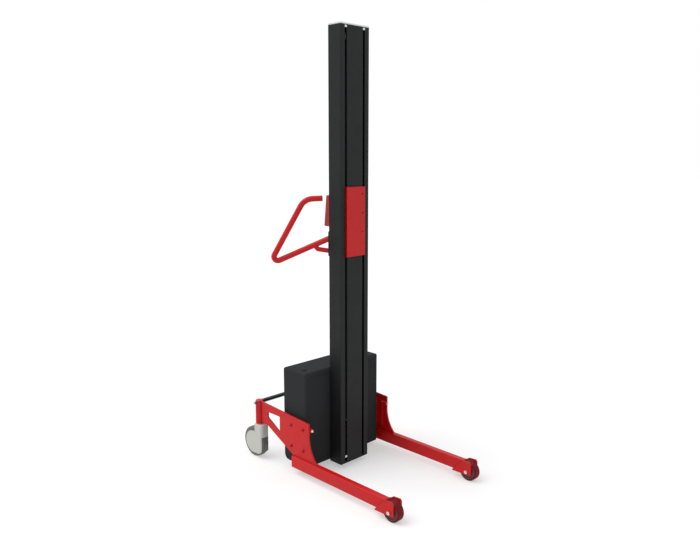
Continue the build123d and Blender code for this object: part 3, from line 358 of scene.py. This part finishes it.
MATERIALS = {
    "black_profile": coat("black_profile", BLACK, 0.52, tint(BLACK, 3.0), specular=0.22),
    "black_paint": coat("black_paint", HOUSING_BLACK, 0.78, tint(BLACK, 3.0), specular=0.04),
    "red_paint": coat("red_paint", RED, 0.42, tint(RED, 1.2), specular=0.3),
    "red_plastic": moulded("red_plastic", BOX_RED, 0.48),
    "plate_grey": bare_metal("plate_grey", PLATE_GREY, 0.35, (30, 1, 1)),
    "zinc": bare_metal("zinc", ZINC, 0.28),
    "screw_red": coat("screw_red", SCREW_RED, 0.36, tint(SCREW_RED, 1.5), specular=0.3),
    "screw_black": coat("screw_black", BLACK, 0.6, BLACK, specular=0.1),
    "slider_steel": bare_metal("slider_steel", STEEL, 0.34),
    "nylon": moulded("nylon", NYLON, 0.5),
    "strap_web": webbing("strap_web", WEB_GREY),
    "drive_cast": bare_metal("drive_cast", CASTING, 0.5, (1, 1, 1)),
    "battery_case": moulded("battery_case", CASE_BLACK, 0.5),
    "caster_grey": moulded("caster_grey", PALE_GREY, 0.46),
    "hub_grey": moulded("hub_grey", HUB_GREY, 0.45),
    "hub_brown": moulded("hub_brown", HUB_BROWN, 0.5, specular=0.3),
    "tyre_grey": rubber("tyre_grey", TYRE_GREY, 0.62),
    "tread_burgundy": rubber("tread_burgundy", BURGUNDY, 0.6, specular=0.15),
    "black_plastic": moulded("black_plastic", PLASTIC_BLACK, 0.45),
    "plug_red": moulded("plug_red", PLUG_RED, 0.45),
    "button_green": moulded("button_green", BUTTON_BLACK, 0.35),
    "button_red": moulded("button_red", STOP_RED, 0.3),
}
BAR_PAINT = coat(
    "bar_paint", tint(BLACK, 2.0), 0.24, tint(BLACK, 3.0), specular=0.8, bright_beyond=BAR_TIP_FROM_MIDDLE
)
# Finish of the weld beads: the frame's red made darker, as painted shade along the seams
WELD_SHADE_PAINT = coat("weld_shade_paint", WELD_SHADE_RED, 0.45, WELD_SHADE_RED, specular=0.25)
ARROW_WHITE = moulded("arrow_white", ARROW_PAINT, 0.5)


def set_material(obj, material):
    obj.data.materials.clear()
    obj.data.materials.append(material)


for part in frame["record"]["subparts"]:
    set_material(nodes[part["node"]], MATERIALS[part["material_slot"]])
set_material(nodes["lock_bar"], BAR_PAINT)


# Mesh pieces


def add_piece(name, bm, body, slot, material=None):
    """Makes the built mesh a piece parented to the empty of a body, with the given material, or the slot's
    where none is given.
    """
    bmesh.ops.recalc_face_normals(bm, faces=bm.faces)
    mesh = bpy.data.meshes.new(name)
    bm.to_mesh(mesh)
    bm.free()
    mesh.shade_smooth()
    mesh.set_sharp_from_angle(angle=math.radians(SHARP_ANGLE))
    piece = bpy.data.objects.new(name, mesh)
    scene.collection.objects.link(piece)
    set_material(piece, material or MATERIALS[slot])
    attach(piece, body)
    return piece


def corners(node):
    return tuple(Vector(corner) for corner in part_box(node))


def middle(node):
    low, high = corners(node)
    return (low + high) / 2


def facing(direction, sideways, origin):
    """Place whose Z axis is direction and whose X axis is sideways."""
    z = Vector(direction).normalized()
    x = Vector(sideways).normalized()
    turn = Matrix((x, z.cross(x), z)).transposed()
    return Matrix.Translation(origin) @ turn.to_4x4()


def strip_faces(bm, rings, closed):
    """Joins rings of points that have the same count, round each ring and from ring to ring."""
    pairs = list(zip(rings, rings[1:]))
    if closed:
        pairs.append((rings[-1], rings[0]))
    count = len(rings[0])
    for first, second in pairs:
        for index in range(count):
            after = (index + 1) % count
            bm.faces.new((first[index], first[after], second[after], second[index]))
    if not closed:
        bm.faces.new(rings[0])
        bm.faces.new(rings[-1])


def evenly(points, step):
    """Points a step apart along straight runs, with the corners kept."""
    path = []
    for start, end in zip(points, points[1:]):
        count = max(1, round((end - start).length / step))
        path += [start.lerp(end, index / count) for index in range(count)]
    return path + [points[-1]]


def add_bead(bm, path, closed=False, sides=8):
    """Weld bead along a path: a round cord with the ripples of its passes."""
    rings, travelled, aside = [], 0.0, None
    for index, point in enumerate(path):
        before = path[index - 1] if closed or index else point
        after = path[(index + 1) % len(path)] if closed or index + 1 < len(path) else point
        along = (after - before).normalized()
        aside = along.orthogonal() if aside is None else aside - along * aside.dot(along)
        aside.normalize()
        across = along.cross(aside)
        radius = BEAD_R * (1 + BEAD_RIPPLE * math.sin(math.tau * travelled / BEAD_PITCH))
        angles = [math.tau * side / sides for side in range(sides)]
        ring = [point + radius * (math.cos(a) * aside + math.sin(a) * across) for a in angles]
        rings.append([bm.verts.new(p) for p in ring])
        travelled += (after - point).length
    strip_faces(bm, rings, closed)


def add_turned(bm, place, profile, hex_socket=0.0, steps=48):
    """Ring turned about the Z axis of place from a closed profile of radius and height.

    Points at the radius hex_socket follow a hexagon whose flats are that far from the axis.
    """
    rings = []
    flat_angle = math.tau / 6
    for step in range(steps):
        angle = math.tau * step / steps
        from_flat = (angle + flat_angle / 2) % flat_angle - flat_angle / 2
        ring = []
        for radius, height in profile:
            reach = radius / math.cos(from_flat) if radius == hex_socket else radius
            point = Vector((reach * math.cos(angle), reach * math.sin(angle), height))
            ring.append(bm.verts.new(place @ point))
        rings.append(ring)
    strip_faces(bm, rings, closed=True)


def flat_ring(inner, outer, rise):
    """Profile of a low ring with a rounded outer edge, let a little into what carries it."""
    ease = rise / 2
    cut = ease * ROUND_CUT_SHARE
    return [
        (inner, -RING_SINK),
        (inner, rise),
        (outer - ease, rise),
        (outer - cut, rise - cut),
        (outer, -RING_SINK),
    ]


# Welds, in a darker red than the frame: painted shade of the seams where the parts meet


def leg_welds(side):
    """Beads along the foot of the side plate, up the socket and round the leg at the wheel fork."""
    leg_low, leg_high = corners(f"leg_{side}")
    plate_low, plate_high = corners(f"side_plate_{side}")
    socket_low, socket_high = corners(f"caster_socket_{side}")
    leg_middle = (leg_low.x + leg_high.x) / 2
    faces = (leg_middle - PLATE_SHEET / 2, leg_middle + PLATE_SHEET / 2)
    axle = middle(f"front_tread_{side}")

    bm = bmesh.new()
    outer = max(faces, key=abs)
    ends = [Vector((outer, y, leg_high.z)) for y in (plate_low.y + BEAD_R, leg_high.y - BEAD_R)]
    add_bead(bm, evenly(ends, BEAD_STEP))
    add_piece(f"weld_plate_{side}", bm, "chassis", "red_paint", WELD_SHADE_PAINT)

    bm = bmesh.new()
    socket_r = (socket_high.x - socket_low.x) / 2
    seam_y = (socket_low.y + socket_high.y) / 2 - math.sqrt(socket_r**2 - (PLATE_SHEET / 2) ** 2)
    for x in faces:
        ends = [Vector((x, seam_y, z)) for z in (socket_low.z + BEAD_R, plate_high.z - BEAD_R)]
        add_bead(bm, evenly(ends, BEAD_STEP))
    add_piece(f"weld_socket_{side}", bm, "chassis", "red_paint", WELD_SHADE_PAINT)

    def slant(z):
        """Y of the sloping end of the leg at a height."""
        part = (z - axle.z - FORK_HEEL[1]) / (FORK_SHOULDER[1] - FORK_HEEL[1])
        return axle.y + FORK_HEEL[0] + part * (FORK_SHOULDER[0] - FORK_HEEL[0])

    bm = bmesh.new()
    foot, top = leg_low.z + BEAD_R, leg_high.z
    turns = [(leg_low.x, foot), (leg_low.x, top), (leg_high.x, top), (leg_high.x, foot)]
    add_bead(bm, evenly([Vector((x, slant(z), z)) for x, z in turns], BEAD_STEP))
    add_piece(f"weld_fork_{side}", bm, "chassis", "red_paint", WELD_SHADE_PAINT)


def tube_foot(root, run, radius):
    """Where a tube of the handle leaves the bracket: an oval in the bracket's face."""
    along = run.normalized()
    first = along.orthogonal().normalized()
    second = along.cross(first)
    count = round(math.tau * radius / abs(along.y) / BEAD_STEP)
    path = []
    for index in range(count):
        angle = math.tau * index / count
        out = radius * (math.cos(angle) * first + math.sin(angle) * second)
        path.append(root + out - along * (out.y / along.y))
    return path


def handle_welds():
    """Beads round the feet of the handle tubes and their stays."""
    bracket_y = corners("handle_plate")[1].y
    for side in ("left", "right"):
        sign = math.copysign(1, middle(f"handle_{side}").x)
        bm = bmesh.new()
        for z, run, radius in ((HANDLE_ROOT_Z, HANDLE_RUN, HANDLE_R), (STAY_ROOT_Z, STAY_RUN, STAY_R)):
            root = Vector((sign * HANDLE_ROOT_X, bracket_y, z))
            splayed = run[0] * HANDLE_SPLAY
            way = Vector((sign * splayed, splayed, run[1]))
            add_bead(bm, tube_foot(root, way, radius), closed=True)
        add_piece(f"weld_handle_{side}", bm, "chassis", "red_paint", WELD_SHADE_PAINT)


for side in ("left", "right"):
    leg_welds(side)
handle_welds()


# Caster tyres


def add_tyre(side):
    """Tyre with round shoulders and a slight crown in place of the solid one."""
    node = f"caster_tyre_{side}"
    low, high = corners(node)
    radius = (high.z - low.z) / 2
    half = (high.x - low.x) / 2
    bore = radius - TYRE_TREAD
    edge = radius - TYRE_CROWN - TYRE_SHOULDER
    angles = [math.radians(90 * step / SHOULDER_STEPS) for step in range(SHOULDER_STEPS + 1)]
    arc = [(edge + TYRE_SHOULDER * math.sin(a), half - TYRE_SHOULDER * (1 - math.cos(a))) for a in angles]
    mirrored = [(r, -x) for r, x in reversed(arc)]
    profile = [(bore, half), *arc, (radius, 0), *mirrored, (bore, -half)]
    bm = bmesh.new()
    add_turned(bm, facing((1, 0, 0), (0, 1, 0), middle(node)), profile, steps=TYRE_STEPS)
    piece = add_piece(f"round_tyre_{side}", bm, f"caster_wheel_{side}", "tyre_grey")
    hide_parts(node)


for side in ("left", "right"):
    add_tyre(side)


# Control panel


def panel_place(node):
    """Place on the panel under a button, with Z out of the panel and Y down it."""
    box_low, box_high = corners("control_box")
    normal = Vector((0, PANEL_HEIGHT, PANEL_LEAN)).normalized()
    face = Vector((0, corners("mast")[1].y + PANEL_DEPTH, (box_low.z + box_high.z) / 2))
    centre = middle(node)
    return facing(normal, (1, 0, 0), centre - normal * (centre - face).dot(normal))


def add_arrow(bm, place, way):
    """Raised arrow with a bevelled edge, pointing up the panel for way -1 and down it for way 1."""
    tip, neck, tail = ARROW_LENGTH / 2, 0.0, -ARROW_LENGTH / 2
    wide, slim = ARROW_WIDTH / 2, ARROW_SHAFT / 2
    half_outline = [(wide, neck), (slim, neck), (slim, tail)]
    mirrored = [(-x, y) for x, y in reversed(half_outline)]
    outline = [(0, tip), *half_outline, *mirrored]
    levels = ((1.0, -ARROW_RISE), (1.0, ARROW_RISE * ARROW_SIDE_SHARE), (ARROW_TOP_SHARE, ARROW_RISE))
    rings = []
    for size, rise in levels:
        points = [Vector((size * x, size * y * way, BUTTON_RISE + rise)) for x, y in outline]
        rings.append([bm.verts.new(place @ point) for point in points])
    strip_faces(bm, rings, closed=False)


def add_panel():
    """Bezels round the push buttons, the collar under the stop, and the arrows."""
    bm = bmesh.new()
    for node in ("up_button", "down_button"):
        add_turned(bm, panel_place(node), flat_ring(*BEZEL))
    add_piece("button_bezels", bm, "chassis", "black_plastic")
    bm = bmesh.new()
    add_turned(bm, panel_place("emergency_stop"), flat_ring(*STOP_COLLAR))
    add_piece("stop_collar", bm, "chassis", "black_plastic")
    for name, way in (("up", -1), ("down", 1)):
        bm = bmesh.new()
        add_arrow(bm, panel_place(f"{name}_button"), way)
        add_piece(f"arrow_{name}", bm, name, "plate_grey", ARROW_WHITE)


add_panel()


# Charge inlet and screws


def add_inlet_pins():
    """Round pins in a circle on the floor of the inlet."""
    low, high = corners("charge_inlet")
    floor = Vector(((low.x + high.x) / 2, high.y - INLET_DEPTH, (low.z + high.z) / 2))
    bm = bmesh.new()
    tip = PIN_R * PIN_TIP_SHARE
    profile = [
        (tip, -PIN_SINK),
        (PIN_R, -PIN_SINK),
        (PIN_R, PIN_LENGTH - PIN_R),
        (PIN_R * PIN_ROUND_SHARE, PIN_LENGTH - PIN_R / 3),
        (tip, PIN_LENGTH),
    ]
    for index in range(PIN_COUNT):
        angle = math.tau * index / PIN_COUNT + math.pi / 2
        foot = floor + PIN_CIRCLE * Vector((math.cos(angle), 0, math.sin(angle)))
        add_turned(bm, facing((0, 1, 0), (1, 0, 0), foot), profile, steps=PIN_STEPS)
    add_piece("inlet_pins", bm, "chassis", "zinc")


def add_socket_rings(name, places, flats, outer, rise):
    """One low ring round a hexagon socket at each place."""
    bm = bmesh.new()
    for place in places:
        add_turned(bm, place, flat_ring(flats, outer, rise), hex_socket=flats)
    add_piece(name, bm, "chassis", "zinc")


def add_screw_sockets():
    """Low heads on the mast's top plate and socket rims on the bracket's screws."""
    low, high = corners("mast_top_plate")
    across = (low.x + TOP_SCREW_INSET, high.x - TOP_SCREW_INSET)
    back = (low.y + TOP_SCREW_INSET, high.y - TOP_SCREW_INSET)
    places = [facing((0, 0, 1), (1, 0, 0), (x, y, high.z)) for x in across for y in back]
    flats = TOP_SCREW_R * SOCKET_SHARE
    add_socket_rings("top_plate_screws", places, flats, TOP_SCREW_R, TOP_SCREW_RISE)

    low, high = corners("handle_screws")
    across = (low.x + HANDLE_SCREW_R, high.x - HANDLE_SCREW_R)
    up = (low.z + HANDLE_SCREW_R, high.z - HANDLE_SCREW_R)
    places = [facing((0, 1, 0), (1, 0, 0), (x, high.y, z)) for x in across for z in up]
    flats = HANDLE_SCREW_R * SOCKET_SHARE
    outer = HANDLE_SCREW_R - SOCKET_RING_INSET
    add_socket_rings("handle_screw_sockets", places, flats, outer, SOCKET_RING_RISE)


add_inlet_pins()
add_screw_sockets()


# Stage


def link_white(tree, target, low, high):
    """Drives a number with what the ray is: high for rays that see the picture, low for light."""
    path = tree.nodes.new("ShaderNodeLightPath")
    seen = path.outputs["Is Camera Ray"]
    for output in ("Is Glossy Ray", "Is Transmission Ray"):
        either = tree.nodes.new("ShaderNodeMath")
        either.operation = "MAXIMUM"
        tree.links.new(seen, either.inputs[0])
        tree.links.new(path.outputs[output], either.inputs[1])
        seen = either.outputs["Value"]
    strength = tree.nodes.new("ShaderNodeMapRange")
    strength.inputs["To Min"].default_value = low
    strength.inputs["To Max"].default_value = high
    tree.links.new(seen, strength.inputs["Value"])
    tree.links.new(strength.outputs["Result"], target)


def add_floor():
    """White floor: plain white where it is open, with the soft shadow of what stands on it."""
    mesh = bpy.data.meshes.new("floor")
    half = FLOOR_SIZE / 2
    square = [(-half, -half, 0), (half, -half, 0), (half, half, 0), (-half, half, 0)]
    mesh.from_pydata(square, [], [(0, 1, 2, 3)])
    floor = bpy.data.objects.new("floor", mesh)
    scene.collection.objects.link(floor)
    material = bpy.data.materials.new("floor_white")
    material.use_nodes = True
    tree = material.node_tree
    shader = tree.nodes["Principled BSDF"]
    shader.inputs["Roughness"].default_value = FLOOR_ROUGHNESS
    shader.inputs["Specular IOR Level"].default_value = 0.0
    shader.inputs["Emission Color"].default_value = (1, 1, 1, 1)
    link_white(tree, shader.inputs["Base Color"], FLOOR_BOUNCE, FLOOR_SHADE)
    link_white(tree, shader.inputs["Emission Strength"], 0.0, FLOOR_GLOW)
    mesh.materials.append(material)


def add_world():
    """White light all round. What the camera and the reflections see of it is plain white."""
    world = bpy.data.worlds.new("studio")
    world.use_nodes = True
    tree = world.node_tree
    background = tree.nodes["Background"]
    background.inputs["Color"].default_value = (1, 1, 1, 1)
    link_white(tree, background.inputs["Strength"], WORLD_LIGHT, 1.0)
    scene.world = world


def add_key():
    """Soft light from above, behind and the camera's side, which gives the shadow on the floor."""
    light = bpy.data.lights.new("key", "SUN")
    light.energy = KEY_STRENGTH
    light.angle = math.radians(KEY_SPREAD)
    key = bpy.data.objects.new("key", light)
    key.rotation_euler = (-Vector(KEY_FROM)).to_track_quat("-Z", "Y").to_euler()
    scene.collection.objects.link(key)


def add_camera():
    data = bpy.data.cameras.new("camera")
    data.sensor_fit = "HORIZONTAL"
    data.sensor_width = SENSOR_MM
    data.lens = CAMERA_LENS_MM
    data.clip_end = CAMERA_REACH
    camera = bpy.data.objects.new("camera", data)
    camera.location = CAMERA_PLACE
    camera.rotation_euler = (math.radians(90 - CAMERA_PITCH), 0, math.radians(-CAMERA_YAW))
    scene.collection.objects.link(camera)
    scene.camera = camera


add_floor()
add_world()
add_key()
add_camera()
scene.view_settings.view_transform = "Standard"
